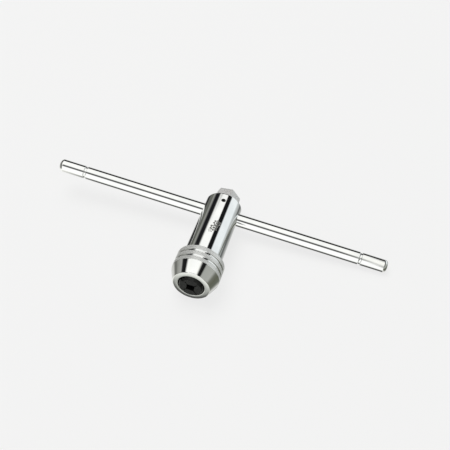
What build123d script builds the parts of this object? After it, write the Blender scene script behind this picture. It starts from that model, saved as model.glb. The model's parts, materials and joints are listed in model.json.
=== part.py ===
from build123d import *
from math import asin, atan, atan2, cos, degrees, hypot, radians, sin, sqrt, tan
import os

# A tap wrench: a barrel with a sliding T-bar, a hex end, and a four-jaw chuck that a
# screw cap closes on a tap's square.
#
# Every piece is drawn in the tool's own frame, in millimetres. The origin is where the
# T-bar crosses the tool's axis, +X runs along the T-bar and +Z runs along the tool's
# axis, from the chuck to the hex end. The last section lays the whole tool on its side,
# on a flat surface, and moves the origin to the middle of the box's underside.

# Driving dimensions -------------------------------------------------------------------

# T-bar
bar_d = 6.0
bar_length = 160.0
bar_end_round = 1.7
bar_groove_from_end = 12.8
bar_groove_width = 1.2
bar_groove_depth = 0.4
bar_shift = 0.3  # how far it is slid to the right of the middle, at rest

# Barrel and its hex end
barrel_d = 17.3
barrel_top = 5.7
barrel_end = -33.2
barrel_rim = 0.35
hex_flats = 11.0
hex_top = 12.4
hex_bevel_depth = 0.25
hex_bevel_length = 1.0
hex_turn = -12.0
barrel_bore_d = 12.0
barrel_bore_end = -21.0

# Spring-loaded ball that holds the T-bar, in a side hole closed by a grub screw
detent_z = 1.2
detent_bore_d = 2.1
detent_ball_d = 2.0
grub_length = 2.0
grub_recess = 0.35
grub_socket_flats = 0.9
grub_socket_depth = 0.9

# Chuck cap
cap_d = 21.8
cap_back = -30.1
cap_cone_start = -38.45
cap_front = -44.5
cap_front_rise = 0.3
cap_front_d = 17.0
cap_mouth_d = 11.1
cap_back_chamfer = 0.3
cap_edge_break = 0.1
cap_front_round = 0.3
cap_grooves = (-32.9, -35.9)
cap_groove_r = 0.55
cap_groove_depth = 0.35
thread_d = 17.0
skirt_start = -34.0

# Jaws: the square they leave when shut, at rest and fully open
square_shut = 3.0
square_rest = 3.5
square_open = 5.5
jaw_front = -45.35
jaw_edge = 0.3
jaw_back = -38.95
cone_angle = 25.0

# Core that carries the jaws
core_thread_front = -39.2
core_thread_back = -34.2
core_shank_end = -21.4
tap_bore_d = 7.0
tap_bore_end = -24.0
pin_d = 2.0
pin_z = -31.6
pin_inner_r = 4.2
pin_sunk = 0.1

# Cone ring
ring_front = -42.6
ring_back = -40.0

# Jaw springs
spring_z = -41.6
pocket_d = 1.2
pocket_depth = 1.25

# Clearances: radial for a shaft that turns or slides, the rest face to face
running = 0.05
sliding = 0.03
seated = 0.02
relief = 0.12

# Worked-out sizes ---------------------------------------------------------------------

bar_r = bar_d / 2
barrel_r = barrel_d / 2
cap_r = cap_d / 2
thread_r = thread_d / 2
cone_slope = tan(radians(cone_angle))
jaw_width = square_open
rest_lift = (square_rest - square_shut) / 2
full_lift = (square_open - square_shut) / 2
jaw_tip = square_rest / 2
flank = (jaw_width - square_shut) / 2
closing_travel = rest_lift / cone_slope


def cone_radius(z):
    """Radius of the ring's inner cone at height z, with the chuck at rest."""
    return cap_mouth_d / 2 + cone_slope * (z - cap_front)


def shut_cone_radius(z):
    """Radius of the same cone at height z, with the chuck shut."""
    return cone_radius(z - closing_travel)


def facing(turn, z):
    """Plane across the tool's axis at height z, its x axis turned from +X by turn."""
    return Plane(origin=(0, 0, z), x_dir=Vector(1, 0, 0).rotate(Axis.Z, turn), z_dir=(0, 0, 1))


def upright(turn, out):
    """Plane along the tool's axis, moved out by out: x points along turn, y up the axis."""
    ahead = Vector(1, 0, 0).rotate(Axis.Z, turn)
    return Plane(origin=ahead * out, x_dir=ahead, z_dir=ahead.cross(Vector(0, 0, 1)))


def make_spring(base, length, mean_r, wire_r, turns):
    """Coil spring that stands on the plane base; length includes the wire."""
    height = length - 2 * wire_r
    with BuildPart() as coil:
        with BuildLine() as path:
            Helix(height / turns, height, mean_r, center=base.offset(wire_r).origin, direction=base.z_dir)
        with BuildSketch(Plane(origin=path.line @ 0, z_dir=path.line % 0)):
            Circle(wire_r)
        sweep(is_frenet=True)
    return coil.part


pieces = {}

# Barrel -------------------------------------------------------------------------------

with BuildPart() as barrel:
    with BuildSketch(Plane.XZ) as barrel_half:
        with Locations((barrel_r / 2, (barrel_top + barrel_end) / 2)):
            Rectangle(barrel_r, barrel_top - barrel_end)
    revolve(axis=Axis.Z)
    chamfer(barrel.edges().filter_by(GeomType.CIRCLE), barrel_rim)
    with BuildSketch(Plane.XY.offset(barrel_top)):
        RegularPolygon(hex_flats / 2, 6, major_radius=False, rotation=hex_turn)
    extrude(amount=hex_top - barrel_top)
    hex_end = barrel.faces().sort_by(Axis.Z)[-1]
    chamfer(hex_end.edges(), hex_bevel_depth, hex_bevel_length, reference=hex_end)
    # Bore for the core's shank
    with BuildSketch(Plane.XY.offset(barrel_end)):
        Circle(barrel_bore_d / 2)
    extrude(amount=barrel_bore_end - barrel_end, mode=Mode.SUBTRACT)
    # Cross hole for the T-bar
    with BuildSketch(Plane.YZ):
        Circle(bar_r + running)
    extrude(amount=barrel_r, both=True, mode=Mode.SUBTRACT)
    # Side hole for the ball, its spring and the grub screw
    with BuildSketch(Plane.XZ):
        with Locations((0, detent_z)):
            Circle(detent_bore_d / 2)
    extrude(amount=barrel_r, mode=Mode.SUBTRACT)
    # Holes for the core's pins
    with BuildSketch(Plane.YZ):
        with Locations((0, pin_z)):
            Circle(pin_d / 2)
    extrude(amount=barrel_r, both=True, mode=Mode.SUBTRACT)
pieces["barrel"] = barrel.part

# T-bar --------------------------------------------------------------------------------

groove_x = bar_length / 2 - bar_groove_from_end

with BuildPart() as t_bar:
    with BuildSketch(Plane.YZ.offset(bar_shift)):
        Circle(bar_r)
    extrude(amount=bar_length / 2, both=True)
    fillet(t_bar.edges().filter_by(GeomType.CIRCLE), bar_end_round)
    with BuildSketch(Plane.XY):
        with Locations((bar_shift + groove_x, bar_r), (bar_shift - groove_x, bar_r)):
            Rectangle(bar_groove_width, 2 * bar_groove_depth)
    revolve(axis=Axis.X, mode=Mode.SUBTRACT)
pieces["t_bar"] = t_bar.part

# Ball, spring and grub screw that hold the T-bar ---------------------------------------

ball_r = detent_ball_d / 2
ball_y = -sqrt((bar_r + sliding + ball_r) ** 2 - detent_z**2)
grub_outer_y = -(barrel_r - grub_recess)
grub_inner_y = grub_outer_y + grub_length
grub_r = detent_bore_d / 2 - seated

with BuildPart() as detent_ball:
    with Locations((0, ball_y, detent_z)):
        Sphere(ball_r)
pieces["detent_ball"] = detent_ball.part

with BuildPart() as detent_screw:
    with BuildSketch(Plane.XZ.offset(-grub_inner_y)):
        with Locations((0, detent_z)):
            Circle(grub_r)
    extrude(amount=grub_length)
    chamfer(detent_screw.edges().filter_by(GeomType.CIRCLE), 0.15)
    with BuildSketch(Plane.XZ.offset(-grub_outer_y)):
        with Locations((0, detent_z)):
            RegularPolygon(grub_socket_flats / 2, 6, major_radius=False)
    extrude(amount=-grub_socket_depth, mode=Mode.SUBTRACT)
pieces["detent_screw"] = detent_screw.part

spring_seat_y = ball_y - ball_r
spring_foot = Plane(origin=(0, spring_seat_y - seated, detent_z), z_dir=(0, -1, 0))
spring_length = spring_seat_y - grub_inner_y - 2 * seated
pieces["detent_spring"] = make_spring(spring_foot, spring_length, 0.72, 0.12, 4)

# Chuck core -----------------------------------------------------------------------------

slot_width = jaw_width + 2 * sliding
slot_floor = jaw_back + running
lobe_gap = 0.2
lobe_back = core_thread_front - 0.4
lobe_edge_r = shut_cone_radius(jaw_front + jaw_edge) - lobe_gap
neck_r = thread_r - 0.9
shank_r = barrel_bore_d / 2 - seated

with BuildPart() as chuck_core:
    with BuildSketch(Plane.XZ):
        with BuildLine():
            Polyline(
                (0, jaw_front),
                (lobe_edge_r - jaw_edge, jaw_front),
                (lobe_edge_r, jaw_front + jaw_edge),
                (shut_cone_radius(lobe_back) - lobe_gap, lobe_back),
                (thread_r, core_thread_front),
                (thread_r, core_thread_back),
                (neck_r, core_thread_back + 0.3),
                (neck_r, barrel_end),
                (shank_r, barrel_end),
                (shank_r, core_shank_end),
                (0, core_shank_end),
                close=True,
            )
        make_face()
    revolve(axis=Axis.Z)
    # Crossed slots for the four jaws
    with BuildSketch(Plane.XY.offset(jaw_front)):
        Rectangle(2 * thread_r, slot_width)
        Rectangle(slot_width, 2 * thread_r)
    extrude(amount=slot_floor - jaw_front, mode=Mode.SUBTRACT)
    # Room behind the jaws for the tap's square end
    with BuildSketch(Plane.XY.offset(slot_floor)):
        Circle(tap_bore_d / 2)
    extrude(amount=tap_bore_end - slot_floor, mode=Mode.SUBTRACT)
    # Holes for the two pins
    with BuildSketch(Plane.YZ.offset(pin_inner_r), Plane.YZ.offset(-pin_inner_r).rotated((0, 0, 180))):
        with Locations((0, pin_z)):
            Circle(pin_d / 2)
    extrude(amount=barrel_r - pin_inner_r, mode=Mode.SUBTRACT)
pieces["chuck_core"] = chuck_core.part

with BuildPart() as core_pins:
    for side in (1, -1):
        with BuildSketch(Plane.YZ.offset(side * (pin_inner_r + seated))):
            with Locations((0, pin_z)):
                Circle(pin_d / 2 - seated)
        extrude(amount=side * (barrel_r - pin_sunk - pin_inner_r - seated))
pieces["core_pins"] = core_pins.part

# Cone ring ------------------------------------------------------------------------------

with BuildPart() as cone_ring:
    with BuildSketch(Plane.XZ):
        with BuildLine():
            Polyline(
                (cone_radius(ring_front), ring_front + seated),
                (thread_r, ring_front + seated),
                (thread_r, ring_back),
                (cone_radius(ring_back), ring_back),
                close=True,
            )
        make_face()
    revolve(axis=Axis.Z)
pieces["cone_ring"] = cone_ring.part

# Chuck cap ------------------------------------------------------------------------------

cap_bore_r = thread_r + running
skirt_r = barrel_r + running
mouth_r = cap_mouth_d / 2 + relief

with BuildPart() as chuck_cap:
    with BuildSketch(Plane.XZ):
        with BuildLine():
            Polyline(
                (cap_front_d / 2, cap_front + cap_front_rise),
                (cap_r, cap_cone_start),
                (cap_r, cap_back - cap_back_chamfer),
                (cap_r - cap_back_chamfer, cap_back),
                (skirt_r, cap_back),
                (skirt_r, skirt_start),
                (cap_bore_r, skirt_start),
                (cap_bore_r, ring_front),
                (cone_radius(ring_front) + relief, ring_front),
                (mouth_r, cap_front),
            )
            ThreePointArc(
                (mouth_r, cap_front),
                ((mouth_r + cap_front_d / 2) / 2, cap_front + 0.02),
                (cap_front_d / 2, cap_front + cap_front_rise),
            )
        make_face()
    revolve(axis=Axis.Z)
    with BuildSketch(Plane.XZ):
        with Locations([(cap_r + cap_groove_r - cap_groove_depth, z) for z in cap_grooves]):
            Circle(cap_groove_r)
    revolve(axis=Axis.Z, mode=Mode.SUBTRACT)
    rims = chuck_cap.edges().filter_by(GeomType.CIRCLE)
    # Every outer edge is broken but the one beside the back chamfer
    outer_rims = rims.filter_by(lambda rim: abs(rim.radius - cap_r) < seated)
    chamfer(outer_rims.sort_by(Axis.Z)[:-1], cap_edge_break)
    fillet(rims.filter_by(lambda rim: abs(rim.radius - cap_front_d / 2) < seated), cap_front_round)
pieces["chuck_cap"] = chuck_cap.part

# Jaws -----------------------------------------------------------------------------------

jaw_edge_r = shut_cone_radius(jaw_front + jaw_edge) - running
jaw_back_r = cap_bore_r - full_lift - 2 * running
jaw_cone_end = cap_front + closing_travel + (jaw_back_r + running - cap_mouth_d / 2) / cone_slope
pocket_r = pocket_d / 2
flank_middle = Vector((square_shut + flank) / 2, (square_shut + flank) / 2, spring_z)

for number in range(4):
    turn = 90 * number
    lift = Vector(rest_lift, 0, 0).rotate(Axis.Z, turn)
    with BuildPart() as jaw:
        # Blank: a flat tip, two flanks and parallel sides
        with BuildSketch(facing(turn, jaw_front)):
            with BuildLine():
                Polyline(
                    (jaw_tip, square_shut / 2),
                    (jaw_tip + flank, jaw_width / 2),
                    (thread_r, jaw_width / 2),
                    (thread_r, -jaw_width / 2),
                    (jaw_tip + flank, -jaw_width / 2),
                    (jaw_tip, -square_shut / 2),
                    close=True,
                )
            make_face()
        extrude(amount=jaw_back - jaw_front)
        # Conical back, which fits the ring's cone when the chuck is shut
        with BuildSketch(upright(turn, rest_lift)):
            with BuildLine():
                Polyline(
                    (0, jaw_front),
                    (jaw_edge_r - jaw_edge, jaw_front),
                    (jaw_edge_r, jaw_front + jaw_edge),
                    (jaw_back_r, jaw_cone_end),
                    (jaw_back_r, jaw_back),
                    (0, jaw_back),
                    close=True,
                )
            make_face()
        revolve(axis=Axis(lift, (0, 0, 1)), mode=Mode.INTERSECT)
        # A pocket in each flank for the spring that parts this jaw from the next
        for side in (1, -1):
            seat = Vector(flank_middle.X, side * flank_middle.Y, spring_z).rotate(Axis.Z, turn) + lift
            inwards = Vector(1, -side, 0).rotate(Axis.Z, turn)
            with BuildSketch(Plane(origin=seat, z_dir=inwards)):
                Circle(pocket_r)
            extrude(amount=pocket_depth, mode=Mode.SUBTRACT)
    pieces[f"jaw_{number + 1}"] = jaw.part

# Jaw springs, one across each gap between neighbouring jaws
flank_gap = rest_lift * sqrt(2)
jaw_spring_length = flank_gap + 2 * (pocket_depth - seated)
for number in range(4):
    across = Vector(1, -1, 0).rotate(Axis.Z, 90 * number)
    middle = (flank_middle + Vector(rest_lift / 2, rest_lift / 2, 0)).rotate(Axis.Z, 90 * number)
    foot = Plane(origin=middle - across.normalized() * (jaw_spring_length / 2), z_dir=across)
    pieces[f"jaw_spring_{number + 1}"] = make_spring(foot, jaw_spring_length, 0.44, 0.08, 7)

# Resting place --------------------------------------------------------------------------

# The nose is raised until the cap's back edge and the barrel's rim are level, and the
# tool is rolled until the end of the T-bar comes down to the same height.
cap_edge_z = cap_back - cap_back_chamfer
barrel_edge_z = barrel_top - barrel_rim
pitch_angle = atan((cap_r - barrel_r) / (barrel_edge_z - cap_edge_z))
axis_height = cap_edge_z * sin(pitch_angle) + cap_r * cos(pitch_angle)
round_x = bar_shift + bar_length / 2 - bar_end_round
round_r = bar_r - bar_end_round
bar_dip = asin((axis_height - bar_end_round) / hypot(round_x, round_r)) - atan2(round_r, round_x)
roll_angle = asin(sin(bar_dip) / cos(pitch_angle))

on_side = Rotation(-90, 0, 0)
rolled = Rotation(0, degrees(roll_angle), 0)
pitched = Rotation(-degrees(pitch_angle), 0, 0)
laid = pitched * rolled * on_side
box = Compound(children=[laid * piece for piece in pieces.values()]).bounding_box()
resting = Pos(-box.center().X, -box.center().Y, -box.min.Z) * laid

os.makedirs("parts", exist_ok=True)
for node, piece in pieces.items():
    placed = resting * piece
    placed.label = node
    export_step(placed, f"parts/{node}.step")
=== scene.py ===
import json
import math

import bmesh
import bpy
from mathutils import Matrix, Vector


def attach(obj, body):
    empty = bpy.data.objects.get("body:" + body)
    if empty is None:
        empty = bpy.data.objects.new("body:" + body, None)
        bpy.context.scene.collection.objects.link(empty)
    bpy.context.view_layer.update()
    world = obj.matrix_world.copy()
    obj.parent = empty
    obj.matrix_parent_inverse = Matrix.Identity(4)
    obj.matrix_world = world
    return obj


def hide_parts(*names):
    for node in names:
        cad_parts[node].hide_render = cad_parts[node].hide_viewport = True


MM = 0.001

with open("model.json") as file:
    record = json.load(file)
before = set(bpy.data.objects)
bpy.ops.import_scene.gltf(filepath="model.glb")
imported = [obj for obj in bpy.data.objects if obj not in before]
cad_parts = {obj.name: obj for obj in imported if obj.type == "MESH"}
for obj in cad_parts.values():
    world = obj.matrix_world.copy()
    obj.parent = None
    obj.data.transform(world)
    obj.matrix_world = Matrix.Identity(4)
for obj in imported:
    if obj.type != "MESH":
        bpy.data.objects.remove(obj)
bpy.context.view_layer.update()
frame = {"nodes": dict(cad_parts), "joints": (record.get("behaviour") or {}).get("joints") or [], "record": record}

# The tool's own frame ------------------------------------------------------------------
# The tool lies on its side, so its pieces are drawn in its own frame, in millimetres:
# z runs along its axis from the chuck to the hex end, x runs along the T-bar, and the
# origin is where they cross. The T-bar lies slid a little to the right of the middle.

BAR_SHIFT = 0.3


def tool_matrix():
    """The matrix from the tool's own frame to the row's, both in metres."""
    axes = {joint["name"]: Vector(joint["axis"]) for joint in frame["joints"]}
    places = {mount["name"]: Vector(mount["pos_m"]) for mount in frame["record"]["mounts"]}
    z = axes["cap_turn"]
    x = axes["t_bar_slide"]
    matrix = Matrix((x, z.cross(x), z)).transposed().to_4x4()
    bar_middle = (places["t_bar_left"] + places["t_bar_right"]) / 2
    matrix.translation = bar_middle - x * BAR_SHIFT * MM
    return matrix


TOOL = tool_matrix()


def across_tool(turned_about, z=0.0):
    """The tool's frame, z mm along it and given a quarter turn about its own X or Y axis."""
    quarter_turn = Matrix.Rotation(math.radians(90), 4, turned_about)
    return TOOL @ Matrix.Translation((0, 0, z * MM)) @ quarter_turn


BAR = across_tool("Y")


def extent(node, matrix):
    """(smallest z, largest z, largest radius) of a CAD node in the frame of matrix, in mm."""
    inverse = matrix.inverted()
    points = [inverse @ vertex.co / MM for vertex in frame["nodes"][node].data.vertices]
    heights = [point.z for point in points]
    return min(heights), max(heights), max(math.hypot(point.x, point.y) for point in points)


# Mesh helpers --------------------------------------------------------------------------

ARC_STEPS = 5
CREASE = math.radians(40)
BEVEL_STEPS = 3
# From 1 to 100: how far the larger faces decide the shading where faces meet
LARGE_FACE_WEIGHT = 100
HEX_SIDES = 6


def rounded(corners):
    """A profile of (radius, z) points from corners of (radius, z, rounding)."""
    profile = []
    count = len(corners)
    for index, (radius, z, rounding) in enumerate(corners):
        corner = Vector((radius, z))
        if not rounding:
            profile.append(corner)
            continue
        before = (Vector(corners[index - 1][:2]) - corner).normalized()
        after = (Vector(corners[(index + 1) % count][:2]) - corner).normalized()
        half = before.angle(after) / 2
        middle = corner + (before + after).normalized() * rounding / math.sin(half)
        start = corner + before * rounding / math.tan(half) - middle
        end = corner + after * rounding / math.tan(half) - middle
        turn = start.angle_signed(end)
        for step in range(ARC_STEPS + 1):
            spoke = start.copy()
            spoke.rotate(Matrix.Rotation(-turn * step / ARC_STEPS, 2))
            profile.append(middle + spoke)
    return profile


def new_piece(name, work, matrix):
    """An object from a bmesh whose vertices are in the frame of matrix."""
    bmesh.ops.recalc_face_normals(work, faces=work.faces)
    bmesh.ops.transform(work, matrix=matrix, verts=work.verts)
    mesh = bpy.data.meshes.new(name)
    work.to_mesh(mesh)
    work.free()
    piece = bpy.data.objects.new(name, mesh)
    bpy.context.scene.collection.objects.link(piece)
    return piece


def ring_of(work, sides, radius, z, turn=0.0):
    """A ring of vertices about z, in mm, or one vertex where the radius is 0."""
    if not radius:
        return [work.verts.new((0, 0, z * MM))]
    ring = []
    for side in range(sides):
        angle = turn + 2 * math.pi * side / sides
        corner = Vector((radius * math.cos(angle), radius * math.sin(angle), z))
        ring.append(work.verts.new(corner * MM))
    return ring


def lathe(name, profile, matrix, segments, closed=False):
    """Turns a profile of (radius, z) points in mm about z. closed joins its two ends."""
    work = bmesh.new()
    rings = [ring_of(work, segments, radius, z) for radius, z in profile]
    pairs = list(zip(rings, rings[1:]))
    if closed:
        pairs.append((rings[-1], rings[0]))
    for low, high in pairs:
        for step in range(segments):
            following = (step + 1) % segments
            corners = [low[step % len(low)], low[following % len(low)]]
            corners += [high[following % len(high)], high[step % len(high)]]
            work.faces.new(list(dict.fromkeys(corners)))
    return new_piece(name, work, matrix)


def prism(name, sections, turn, matrix):
    """A hexagonal prism through sections of (width across flats, z), turned by turn degrees."""
    work = bmesh.new()
    rings = []
    for flats, z in sections:
        corner_radius = flats / 2 / math.cos(math.pi / HEX_SIDES)
        rings.append(ring_of(work, HEX_SIDES, corner_radius, z, math.radians(turn)))
    for low, high in zip(rings, rings[1:]):
        for side in range(HEX_SIDES):
            following = (side + 1) % HEX_SIDES
            work.faces.new((low[side], low[following], high[following], high[side]))
    work.faces.new(rings[0])
    work.faces.new(rings[-1])
    return new_piece(name, work, matrix)


def bake_modifiers(piece):
    """Applies every modifier on a piece."""
    bpy.context.view_layer.update()
    evaluated = piece.evaluated_get(bpy.context.evaluated_depsgraph_get())
    mesh = bpy.data.meshes.new_from_object(evaluated)
    piece.modifiers.clear()
    piece.data = mesh


def cut(piece, *cutters):
    """Takes the cutters out of a piece and deletes them."""
    for cutter in cutters:
        modifier = piece.modifiers.new("cut", "BOOLEAN")
        modifier.operation = "DIFFERENCE"
        modifier.solver = "EXACT"
        modifier.object = cutter
    bake_modifiers(piece)
    for cutter in cutters:
        bpy.data.objects.remove(cutter)


def soften(piece, width=0.0):
    """Rounds edges by width in mm, where it isn't 0, and smooths all but the sharp ones."""
    if width:
        bevel = piece.modifiers.new("edges", "BEVEL")
        bevel.width = width * MM
        bevel.segments = BEVEL_STEPS
        bevel.limit_method = "ANGLE"
        bevel.angle_limit = CREASE
    bake_modifiers(piece)
    piece.data.shade_smooth()
    piece.data.set_sharp_from_angle(angle=CREASE)
    weighted = piece.modifiers.new("normals", "WEIGHTED_NORMAL")
    weighted.weight = LARGE_FACE_WEIGHT
    weighted.keep_sharp = True
    bake_modifiers(piece)


# Node helpers --------------------------------------------------------------------------


def new_material(name):
    """A new material, its node tree and its shader."""
    material = bpy.data.materials.new(name)
    material.use_nodes = True
    return material, material.node_tree, material.node_tree.nodes["Principled BSDF"]


def plug(tree, socket, value):
    """Links an output to a socket, or sets the socket to a plain value."""
    if isinstance(value, bpy.types.NodeSocket):
        tree.links.new(value, socket)
    else:
        socket.default_value = value


def calc(tree, operation, *values):
    """The result of a Math node."""
    node = tree.nodes.new("ShaderNodeMath")
    node.operation = operation
    for socket, value in zip(node.inputs, values):
        plug(tree, socket, value)
    return node.outputs["Value"]


def ranged(tree, source, low, high, from_low=0.35, from_high=0.65):
    """Maps from_low to from_high, by default a noise's middle range, onto low to high."""
    node = tree.nodes.new("ShaderNodeMapRange")
    for socket, value in zip(node.inputs, (source, from_low, from_high, low, high)):
        plug(tree, socket, value)
    return node.outputs["Result"]


def in_use(sockets, name):
    """The socket of this name that the node's mode uses."""
    return next(socket for socket in sockets if socket.name == name and socket.enabled)


def mixed(tree, factor, first, second):
    """A colour: first where factor is 0, second where it is 1."""
    node = tree.nodes.new("ShaderNodeMix")
    node.data_type = "RGBA"
    for name, value in (("Factor", factor), ("A", first), ("B", second)):
        plug(tree, in_use(node.inputs, name), (*value, 1) if isinstance(value, tuple) else value)
    return in_use(node.outputs, "Result")


def split(tree, vector):
    """The x, y and z of a vector."""
    node = tree.nodes.new("ShaderNodeSeparateXYZ")
    plug(tree, node.inputs["Vector"], vector)
    return [node.outputs[axis] for axis in "XYZ"]


def place(tree, matrix):
    """Where a point is on the piece, in metres, in the frame of matrix."""
    node = tree.nodes.new("ShaderNodeMapping")
    node.vector_type = "TEXTURE"
    node.inputs["Location"].default_value = matrix.translation
    node.inputs["Rotation"].default_value = matrix.to_euler()
    plug(tree, node.inputs["Vector"], tree.nodes.new("ShaderNodeTexCoord").outputs["Object"])
    return node.outputs["Vector"]


def noise(tree, vector, size, stretch=(1, 1, 1), detail=3.0):
    """Noise with cells of size mm, made longer by stretch along each axis."""
    mapping = tree.nodes.new("ShaderNodeMapping")
    mapping.inputs["Scale"].default_value = [1 / (size * MM * factor) for factor in stretch]
    plug(tree, mapping.inputs["Vector"], vector)
    node = tree.nodes.new("ShaderNodeTexNoise")
    node.inputs["Scale"].default_value = 1.0
    node.inputs["Detail"].default_value = detail
    plug(tree, node.inputs["Vector"], mapping.outputs["Vector"])
    return node.outputs["Fac"]


def length(tree, x, y):
    """How long a vector with these two parts is."""
    squares = [calc(tree, "MULTIPLY", part, part) for part in (x, y)]
    return calc(tree, "SQRT", calc(tree, "ADD", *squares))


RING_DRIFT = 0.01


def turned(tree, matrix, size, detail=2.0):
    """Noise in rings about the z axis of matrix, as a lathe tool leaves, size mm apart.

    The rings change slowly across the piece, by RING_DRIFT of their rate along it.
    """
    x, y, z = split(tree, place(tree, matrix))
    radius = length(tree, x, y)
    node = tree.nodes.new("ShaderNodeCombineXYZ")
    for socket, value in zip(node.inputs, (radius, calc(tree, "MULTIPLY", x, RING_DRIFT), z)):
        plug(tree, socket, value)
    return noise(tree, node.outputs["Vector"], size, detail=detail)


def bump(tree, shader, source, depth):
    """Adds a bump of depth mm."""
    node = tree.nodes.new("ShaderNodeBump")
    node.inputs["Distance"].default_value = depth * MM
    plug(tree, node.inputs["Height"], source)
    plug(tree, shader.inputs["Normal"], node.outputs["Normal"])


# Materials -----------------------------------------------------------------------------


def finish(tree, shader, pattern, metallic, colours, rough):
    """Makes the metal's colour and roughness follow a pattern, between two of each."""
    shader.inputs["Metallic"].default_value = metallic
    plug(tree, shader.inputs["Base Color"], mixed(tree, ranged(tree, pattern, 0, 1), *colours))
    plug(tree, shader.inputs["Roughness"], ranged(tree, pattern, *rough))


MARK_TURN = math.radians(-84)
MARK_Z = -15.0
MARK_COLOUR = (0.34, 0.34, 0.32)
MARK_ROUGHNESS = 0.55
# Each rosette is (across, along, radius, petals, depth of the petals, bare ring's radius),
# in mm from the middle of the mark
MARK_ROSETTES = (
    (0.45, 1.7, 1.75, 7, 0.28, 0.85),
    (-0.30, -1.3, 1.75, 6, 0.30, 0.80),
    (-1.20, -3.3, 0.95, 5, 0.25, 0.45),
)
MARK_EDGE_BLUR = 0.12
BARE_RING_HALF = 0.14
BARE_RING_BLUR = 0.1


def rosette(tree, across, along, radius, petals, depth, bare):
    """1 inside a rosette about the place where across and along are 0, else 0."""
    reach = length(tree, across, along)
    turn = calc(tree, "ARCTAN2", across, along)
    wave = calc(tree, "COSINE", calc(tree, "MULTIPLY", turn, petals))
    edge = calc(tree, "MULTIPLY_ADD", wave, depth, radius)
    inside = ranged(tree, calc(tree, "SUBTRACT", edge, reach), 0, 1, 0, MARK_EDGE_BLUR)
    off_ring = calc(tree, "ABSOLUTE", calc(tree, "SUBTRACT", reach, bare))
    ring_edge = (BARE_RING_HALF, BARE_RING_HALF + BARE_RING_BLUR)
    return calc(tree, "MULTIPLY", inside, ranged(tree, off_ring, 0, 1, *ring_edge))


def etched_mark(tree, radius):
    """1 inside the small plain rosettes etched on a barrel of this radius, else 0."""
    x, y, z = split(tree, place(tree, TOOL))
    turn = calc(tree, "SUBTRACT", calc(tree, "ARCTAN2", y, x), MARK_TURN)
    across = calc(tree, "MULTIPLY", turn, radius)
    along = calc(tree, "SUBTRACT", calc(tree, "DIVIDE", z, MM), MARK_Z)
    whole = 0.0
    for u, v, *shape in MARK_ROSETTES:
        from_u = calc(tree, "SUBTRACT", across, u)
        from_v = calc(tree, "SUBTRACT", along, v)
        whole = calc(tree, "MAXIMUM", whole, rosette(tree, from_u, from_v, *shape))
    return whole


def etch(tree, shader, radius):
    """Puts the etched mark over the colour and roughness that a shader already has."""
    mark = etched_mark(tree, radius)
    colour = shader.inputs["Base Color"]
    roughness = shader.inputs["Roughness"]
    plug(tree, colour, mixed(tree, mark, colour.links[0].from_socket, MARK_COLOUR))
    plain = roughness.links[0].from_socket
    plug(tree, roughness, ranged(tree, mark, plain, MARK_ROUGHNESS, 0, 1))


def polished_chrome(name, matrix, mark_radius=None):
    """Mirror chrome with faint turning rings, and smudges that dull it a little."""
    material, tree, shader = new_material(name)
    smudges = noise(tree, place(tree, matrix), size=5.0)
    colours = ((0.80, 0.81, 0.81), (0.86, 0.865, 0.86))
    finish(tree, shader, smudges, metallic=1.0, colours=colours, rough=(0.02, 0.08))
    if mark_radius:
        etch(tree, shader, mark_radius)
    bump(tree, shader, turned(tree, matrix, size=0.12), depth=0.0004)
    return material


def turned_chrome(name, metallic, colours, rough, size, depth):
    """Chrome over a face left as turned: rings size mm apart and depth mm deep blur it."""
    material, tree, shader = new_material(name)
    rings = turned(tree, TOOL, size, detail=4.0)
    finish(tree, shader, rings, metallic, colours, rough)
    bump(tree, shader, rings, depth)
    return material


def milled_chrome():
    """Matte plated flats with fine milling lines across them and mottled plating."""
    material, tree, shader = new_material("milled_chrome")
    mottle = noise(tree, place(tree, TOOL), size=0.7, detail=6.0)
    colours = ((0.60, 0.59, 0.59), (0.74, 0.735, 0.73))
    finish(tree, shader, mottle, metallic=0.45, colours=colours, rough=(0.26, 0.42))
    lines = noise(tree, place(tree, TOOL), size=0.10, stretch=(12, 12, 1), detail=4.0)
    bump(tree, shader, lines, depth=0.006)
    return material


def black_oxide():
    """Dark oxide finish, slightly oily, with paler rubbed patches."""
    material, tree, shader = new_material("black_oxide")
    patches = noise(tree, place(tree, TOOL), size=0.8, detail=6.0)
    colours = ((0.011, 0.011, 0.011), (0.029, 0.030, 0.028))
    finish(tree, shader, patches, metallic=0.6, colours=colours, rough=(0.28, 0.45))
    grain = noise(tree, place(tree, TOOL), size=0.08, detail=4.0)
    bump(tree, shader, grain, depth=0.003)
    return material


def ground_steel():
    """Ground hardened steel with fine grinding lines."""
    material, tree, shader = new_material("ground_steel")
    lines = noise(tree, place(tree, TOOL), size=0.5, stretch=(1, 6, 1), detail=5.0)
    colours = ((0.42, 0.42, 0.43), (0.56, 0.56, 0.56))
    finish(tree, shader, lines, metallic=1.0, colours=colours, rough=(0.18, 0.32))
    bump(tree, shader, lines, depth=0.003)
    return material


def spring_wire():
    """Bright drawn wire with a mottled tone."""
    material, tree, shader = new_material("spring_wire")
    tone = noise(tree, place(tree, TOOL), size=0.15, stretch=(1, 1, 4))
    colours = ((0.45, 0.44, 0.42), (0.62, 0.61, 0.59))
    finish(tree, shader, tone, metallic=1.0, colours=colours, rough=(0.2, 0.35))
    return material


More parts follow.
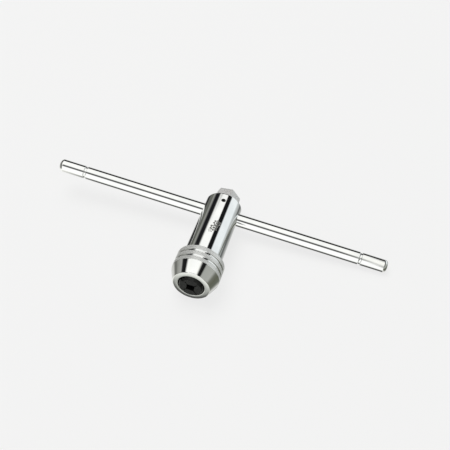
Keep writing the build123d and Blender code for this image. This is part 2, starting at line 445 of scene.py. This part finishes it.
BAR_CHROME = polished_chrome("bar_chrome", BAR)
CAP_CHROME = polished_chrome("cap_chrome", TOOL)
BARREL_CHROME = polished_chrome("barrel_chrome", TOOL, mark_radius=extent("barrel", TOOL)[2])
BANDS = turned_chrome(
    "satin_bands",
    metallic=0.6,
    colours=((0.70, 0.705, 0.695), (0.80, 0.805, 0.795)),
    rough=(0.42, 0.52),
    size=0.25,
    depth=0.004,
)
FACE = turned_chrome(
    "turned_face",
    metallic=1.0,
    colours=((0.62, 0.63, 0.61), (0.72, 0.73, 0.71)),
    rough=(0.10, 0.20),
    size=0.18,
    depth=0.002,
)
MILLED = milled_chrome()
OXIDE = black_oxide()
GROUND = ground_steel()
WIRE = spring_wire()


def dress(piece, materials, body, node):
    """Gives a piece its materials and body, and hides the CAD node that it stands for."""
    piece.data.materials.clear()
    for material in materials:
        piece.data.materials.append(material)
    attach(piece, body)
    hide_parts(node)


# T-bar ---------------------------------------------------------------------------------

BAR_SEGMENTS = 128
BAR_END_ROUND = 1.7
GROOVE_FROM_END = 12.8
GROOVE_WIDTH = 1.2
GROOVE_DEPTH = 0.4
GROOVE_EDGE = 0.12


def make_t_bar():
    """The T-bar, with domed ends and a ring groove near each of them."""
    low, high, radius = extent("t_bar", BAR)
    floor = radius - GROOVE_DEPTH
    grooves = []
    for middle in (low + GROOVE_FROM_END, high - GROOVE_FROM_END):
        start, end = middle - GROOVE_WIDTH / 2, middle + GROOVE_WIDTH / 2
        grooves += [(radius, start), (floor, start), (floor, end), (radius, end)]
    corners = [(0, low, 0), (radius, low, BAR_END_ROUND)]
    corners += [(*corner, GROOVE_EDGE) for corner in grooves]
    corners += [(radius, high, BAR_END_ROUND), (0, high, 0)]
    bar = lathe("t_bar_turned", rounded(corners), BAR, BAR_SEGMENTS)
    soften(bar)
    dress(bar, [BAR_CHROME], "t_bar", "t_bar")


# Barrel --------------------------------------------------------------------------------

BARREL_SEGMENTS = 192
BARREL_TOP = 5.7
BARREL_RIM = 0.3
WALL_RINGS = 60
BORE_RADIUS = 6.0
BORE_END = -21.0
BORE_EDGE = 0.2
CROSS_HOLE_RADIUS = 3.05
CROSS_HOLE_SEGMENTS = 96
SMALL_HOLE_SEGMENTS = 48
DETENT_HOLE_RADIUS = 1.05
DETENT_HOLE_START = 2.0
DETENT_Z = 1.2
PIN_HOLE_RADIUS = 1.0
PIN_Z = -31.6


def hole(name, radius, start, end, matrix, segments):
    """A round cutter along the z axis of matrix."""
    profile = [(0, start), (radius, start), (radius, end), (0, end)]
    return lathe(name, profile, matrix, segments)


def make_barrel():
    """The barrel, bored for the chuck's shank and drilled for the T-bar, pins and ball.

    Its wall is made of many short rings, so that the faces beside the holes stay small
    and are shaded evenly. The ball's hole starts inside the T-bar's and is cut before it,
    because cut after it, it leaves a thin wall between the two.
    """
    low, _, radius = extent("barrel", TOOL)
    step = (BARREL_TOP - low) / WALL_RINGS
    corners = [
        (0, BORE_END, 0),
        (BORE_RADIUS, BORE_END, 0),
        (BORE_RADIUS, low, BORE_EDGE),
        (radius, low, BARREL_RIM),
        *[(radius, low + step * ring, 0) for ring in range(1, WALL_RINGS)],
        (radius, BARREL_TOP, BARREL_RIM),
        (0, BARREL_TOP, 0),
    ]
    barrel = lathe("barrel_turned", rounded(corners), TOOL, BARREL_SEGMENTS)
    reach = 2 * radius
    ball_line = across_tool("X", DETENT_Z)
    pin_line = across_tool("Y", PIN_Z)
    cut(
        barrel,
        hole("ball_hole", DETENT_HOLE_RADIUS, DETENT_HOLE_START, reach, ball_line, SMALL_HOLE_SEGMENTS),
        hole("bar_hole", CROSS_HOLE_RADIUS, -reach, reach, BAR, CROSS_HOLE_SEGMENTS),
        hole("pin_holes", PIN_HOLE_RADIUS, -reach, reach, pin_line, SMALL_HOLE_SEGMENTS),
    )
    soften(barrel)
    dress(barrel, [BARREL_CHROME], "barrel_unit", "barrel")


# Hex end -------------------------------------------------------------------------------

HEX_FLATS = 11.0
HEX_TURN = -12.0
HEX_SUNK = 0.5
HEX_BEVEL_DEPTH = 0.25
HEX_BEVEL_LENGTH = 1.0
HEX_EDGE = 0.12
# A face leans backwards where more than this part of its normal is along the tool
HEX_END_LEAN = 0.1


def make_hex():
    """The hex end. Its bevel and its end, which lean backwards, have the turned finish."""
    high = extent("barrel", TOOL)[1]
    sections = [
        (HEX_FLATS, BARREL_TOP - HEX_SUNK),
        (HEX_FLATS, high - HEX_BEVEL_LENGTH),
        (HEX_FLATS - 2 * HEX_BEVEL_DEPTH, high),
    ]
    hexagon = prism("hex_end", sections, HEX_TURN, TOOL)
    soften(hexagon, HEX_EDGE)
    finishes = [MILLED, BANDS]
    dress(hexagon, finishes, "barrel_unit", "barrel")
    axis = TOOL.col[2].to_3d()
    for face in hexagon.data.polygons:
        if face.normal.dot(axis) > HEX_END_LEAN:
            face.material_index = finishes.index(BANDS)


# Chuck cap -----------------------------------------------------------------------------

CAP_SEGMENTS = 192
CAP_CONE_START = -38.45
CAP_CONE_ROUND = 0.4
CAP_FRONT_RADIUS = 8.5
CAP_FRONT_RISE = 0.3
CAP_FRONT_ROUND = 0.5
CAP_MOUTH_RADIUS = 5.67
CAP_MOUTH_ROUND = 0.4
CAP_BACK_ROUND = 0.3
CAP_GROOVES = (-35.9, -32.9)
CAP_GROOVE_DEPTH = 0.35
CAP_GROOVE_HALF = 0.5
CAP_GROOVE_FLOOR_HALF = 0.3
CAP_GROOVE_EDGE = 0.1
CONE_FRONT = -42.6
CONE_RADIUS = 6.56
THREAD_RADIUS = 8.55
SKIRT_START = -34.0
SKIRT_RADIUS = 8.7
SKIRT_EDGE = 0.15
# Keeps the satin bands clear of the roundings beside them
BAND_MARGIN = 0.1


def make_cap():
    """The chuck cap, with satin bands beside its grooves and a turned front ring."""
    front, back, radius = extent("chuck_cap", TOOL)
    floor = radius - CAP_GROOVE_DEPTH
    grooves = []
    for middle in CAP_GROOVES:
        grooves += [
            (radius, middle - CAP_GROOVE_HALF, CAP_GROOVE_EDGE),
            (floor, middle - CAP_GROOVE_FLOOR_HALF, CAP_GROOVE_EDGE),
            (floor, middle + CAP_GROOVE_FLOOR_HALF, CAP_GROOVE_EDGE),
            (radius, middle + CAP_GROOVE_HALF, CAP_GROOVE_EDGE),
        ]
    corners = [
        (CAP_MOUTH_RADIUS, front, CAP_MOUTH_ROUND),
        (CAP_FRONT_RADIUS, front + CAP_FRONT_RISE, CAP_FRONT_ROUND),
        (radius, CAP_CONE_START, CAP_CONE_ROUND),
        *grooves,
        (radius, back, CAP_BACK_ROUND),
        (SKIRT_RADIUS, back, SKIRT_EDGE),
        (SKIRT_RADIUS, SKIRT_START, 0),
        (THREAD_RADIUS, SKIRT_START, 0),
        (THREAD_RADIUS, CONE_FRONT, 0),
        (CONE_RADIUS, CONE_FRONT, 0),
    ]
    cap = lathe("chuck_cap_turned", rounded(corners), TOOL, CAP_SEGMENTS, closed=True)
    soften(cap)
    finishes = [CAP_CHROME, BANDS, FACE]
    dress(cap, finishes, "chuck_cap", "chuck_cap")
    inverse = TOOL.inverted()
    for face in cap.data.polygons:
        middle = inverse @ face.center / MM
        across, z = math.hypot(middle.x, middle.y), middle.z
        if z > CAP_CONE_START + BAND_MARGIN and across > radius - BAND_MARGIN:
            face.material_index = finishes.index(BANDS)
        elif z < front + CAP_FRONT_RISE and across > CAP_MOUTH_RADIUS + CAP_MOUTH_ROUND:
            face.material_index = finishes.index(FACE)


# CAD nodes that keep their own shape ---------------------------------------------------


def finish_cad_nodes():
    """Gives the CAD nodes that aren't chromed, and so aren't replaced, their finishes."""
    finishes = {"black_oxide": OXIDE, "hardened_steel": GROUND, "spring_steel": WIRE}
    for part in frame["record"]["subparts"]:
        material = finishes.get(part["material_slot"])
        if material:
            node = frame["nodes"][part["node"]]
            node.data.materials.clear()
            node.data.materials.append(material)


make_t_bar()
make_barrel()
make_hex()
make_cap()
finish_cad_nodes()


# Floor, light and camera ---------------------------------------------------------------
# Their places and sizes are in the row's frame, in metres. The lens is in millimetres.

FLOOR_SIZE = 6.0
FLOOR_COLOUR = (0.15, 0.15, 0.15)
FLOOR_GLOW = 0.759
FLOOR_ROUGHNESS = 0.9
BACKDROP = (0.896, 0.896, 0.896)


def make_floor():
    """A large pale floor. It glows a little, so that the shadows on it stay faint."""
    mesh = bpy.data.meshes.new("floor")
    half = FLOOR_SIZE / 2
    corners = [(-half, -half, 0), (half, -half, 0), (half, half, 0), (-half, half, 0)]
    mesh.from_pydata(corners, [], [(0, 1, 2, 3)])
    floor = bpy.data.objects.new("floor", mesh)
    bpy.context.scene.collection.objects.link(floor)
    material, _, shader = new_material("pale_floor")
    shader.inputs["Base Color"].default_value = (*FLOOR_COLOUR, 1)
    shader.inputs["Emission Color"].default_value = (1, 1, 1, 1)
    shader.inputs["Emission Strength"].default_value = FLOOR_GLOW
    shader.inputs["Roughness"].default_value = FLOOR_ROUGHNESS
    shader.inputs["Specular IOR Level"].default_value = 0.0
    mesh.materials.append(material)
    floor.visible_glossy = False


# The light tent: white, black and grey panels. Each row is a direction from the tool in
# degrees and the colour there, and between rows one colour goes over into the next.
# PANELS_BACK and PANELS_FRONT go about the row's y axis, where 0 is overhead, 90 is to the
# right and -90 is to the left; the first is behind the tool, the second beside it and in
# front. PANELS_ALONG is a strip near the middle that goes about the x axis, where 90 is the
# front and -90 is the back.
PANELS_BACK = [
    (-180, 0.76, 0.76, 0.75),
    (-150, 0.76, 0.76, 0.74),
    (-142, 0.42, 0.42, 0.41),
    (-135, 0.10, 0.10, 0.10),
    (-128, 0.012, 0.012, 0.012),
    (-120, 0.015, 0.015, 0.015),
    (-112, 0.12, 0.12, 0.115),
    (-102, 0.17, 0.175, 0.155),
    (-90, 0.135, 0.14, 0.12),
    (-80, 0.34, 0.345, 0.315),
    (-74, 0.25, 0.25, 0.24),
    (-67, 0.035, 0.035, 0.035),
    (-62, 0.010, 0.010, 0.012),
    (-43, 0.018, 0.018, 0.020),
    (-33, 1.12, 1.12, 1.08),
    (12, 1.08, 1.08, 1.05),
    (17, 0.010, 0.010, 0.011),
    (40, 0.010, 0.011, 0.012),
    (46, 0.98, 1.02, 1.03),
    (91, 0.98, 1.03, 1.04),
    (98, 0.62, 0.65, 0.65),
    (116, 0.44, 0.46, 0.45),
    (122, 0.14, 0.15, 0.145),
    (131, 0.15, 0.155, 0.15),
    (140, 0.32, 0.33, 0.32),
    (160, 0.56, 0.56, 0.55),
    (180, 0.76, 0.76, 0.75),
]
PANELS_FRONT = [
    (-180, 1.10, 1.10, 1.06),
    (-136, 1.10, 1.10, 1.05),
    (-125, 0.80, 0.80, 0.76),
    (-113, 0.23, 0.23, 0.21),
    (-104, 0.16, 0.16, 0.145),
    (-92, 0.33, 0.335, 0.305),
    (-71, 0.44, 0.44, 0.42),
    (-65, 0.02, 0.02, 0.02),
    (-47, 0.008, 0.008, 0.009),
    (-39, 1.16, 1.16, 1.12),
    (13, 1.14, 1.14, 1.09),
    (22, 0.02, 0.02, 0.02),
    (35, 0.008, 0.008, 0.008),
    (41, 0.42, 0.43, 0.40),
    (82, 0.44, 0.45, 0.42),
    (95, 0.18, 0.185, 0.155),
    (112, 0.135, 0.14, 0.105),
    (135, 0.15, 0.16, 0.13),
    (147, 0.38, 0.38, 0.35),
    (167, 1.05, 1.05, 1.00),
    (180, 1.10, 1.10, 1.06),
]
PANELS_ALONG = [
    (-180, 0.10, 0.10, 0.098),
    (-165, 0.15, 0.15, 0.147),
    (-148, 0.55, 0.55, 0.54),
    (-138, 0.95, 0.95, 0.94),
    (-106, 0.80, 0.80, 0.79),
    (-88, 0.10, 0.10, 0.10),
    (-81, 0.006, 0.006, 0.006),
    (-53, 0.006, 0.006, 0.006),
    (-47.5, 1.16, 1.16, 1.13),
    (17, 1.18, 1.18, 1.15),
    (29, 0.13, 0.13, 0.13),
    (47, 0.08, 0.08, 0.08),
    (58, 1.25, 1.25, 1.23),
    (125, 1.25, 1.25, 1.22),
    (133, 1.00, 1.02, 0.97),
    (146, 0.16, 0.16, 0.155),
    (156, 0.09, 0.09, 0.088),
    (180, 0.10, 0.10, 0.098),
]
# Parts of a direction of length 1: the strip's middle and the far and near ends of its
# blurred edge, along x, and where the panels beside the tool go over to those behind, along y
STRIP_MIDDLE = -0.10
STRIP_EDGE = (0.29, 0.23)
BACK_EDGE = (0.25, 0.50)


def panel_ring(tree, across, up, panels):
    """The colour of a ring of panels, by the angle whose tangent is across over up."""
    share = ranged(tree, calc(tree, "ARCTAN2", across, up), 0, 1, -math.pi, math.pi)
    ramp = tree.nodes.new("ShaderNodeValToRGB")
    elements = ramp.color_ramp.elements
    # New elements start in the middle, between the ramp's own two, and are placed below
    while len(elements) < len(panels):
        elements.new(0.5)
    for element, (degrees, *colour) in zip(elements, panels):
        element.position = (degrees + 180) / 360
        element.color = (*colour, 1)
    plug(tree, ramp.inputs["Fac"], share)
    return ramp.outputs["Color"]


def make_tent():
    """Lights the tool by the tent, while the camera sees a plain pale backdrop."""
    world = bpy.data.worlds.new("light_tent")
    bpy.context.scene.world = world
    world.use_nodes = True
    tree = world.node_tree
    x, y, z = split(tree, tree.nodes.new("ShaderNodeTexCoord").outputs["Generated"])
    back = panel_ring(tree, x, z, PANELS_BACK)
    front = panel_ring(tree, x, z, PANELS_FRONT)
    along = panel_ring(tree, calc(tree, "MULTIPLY", y, -1.0), z, PANELS_ALONG)
    colour = mixed(tree, ranged(tree, y, 0, 1, *BACK_EDGE), front, back)
    off_middle = calc(tree, "ABSOLUTE", calc(tree, "SUBTRACT", x, STRIP_MIDDLE))
    colour = mixed(tree, ranged(tree, off_middle, 0, 1, *STRIP_EDGE), colour, along)
    is_camera = tree.nodes.new("ShaderNodeLightPath").outputs["Is Camera Ray"]
    background = tree.nodes["Background"].inputs["Color"]
    plug(tree, background, mixed(tree, is_camera, colour, BACKDROP))


LAMP_PLACE = Vector((-0.5, 0.3, 1.6))
LAMP_SIZE = 1.2
LAMP_WATTS = 12.0


def make_lamp():
    """A large soft lamp overhead, for the floor and the matte finishes."""
    light = bpy.data.lights.new("overhead", "AREA")
    light.shape = "DISK"
    light.size = LAMP_SIZE
    light.energy = LAMP_WATTS
    lamp = bpy.data.objects.new("overhead", light)
    bpy.context.scene.collection.objects.link(lamp)
    lamp.visible_glossy = False
    lamp.location = LAMP_PLACE
    lamp.rotation_euler = (-LAMP_PLACE).to_track_quat("-Z", "Y").to_euler()


CAMERA_HEADING = math.radians(-13.15)
CAMERA_DOWN = math.radians(51.19)
CAMERA_ROLL = math.radians(-4.27)
CAMERA_DISTANCE = 0.3582
CAMERA_LENS = 61.4
CAMERA_AIM = Vector((0.00331, -0.00298, -0.00294))


def make_camera():
    """The camera, aimed at CAMERA_AIM as seen from where the T-bar crosses the tool's axis."""
    level = Vector((math.sin(CAMERA_HEADING), math.cos(CAMERA_HEADING), 0))
    forward = level * math.cos(CAMERA_DOWN) - Vector((0, 0, math.sin(CAMERA_DOWN)))
    turn = forward.to_track_quat("-Z", "Y").to_matrix().to_4x4()
    roll = Matrix.Rotation(-CAMERA_ROLL, 4, "Z")
    camera = bpy.data.objects.new("camera", bpy.data.cameras.new("camera"))
    bpy.context.scene.collection.objects.link(camera)
    eye = TOOL.translation + CAMERA_AIM - forward * CAMERA_DISTANCE
    camera.matrix_world = Matrix.Translation(eye) @ turn @ roll
    camera.data.lens = CAMERA_LENS
    camera.data.clip_start = 0.01
    bpy.context.scene.camera = camera


make_floor()
make_tent()
make_lamp()
make_camera()
bpy.context.scene.view_settings.view_transform = "Standard"
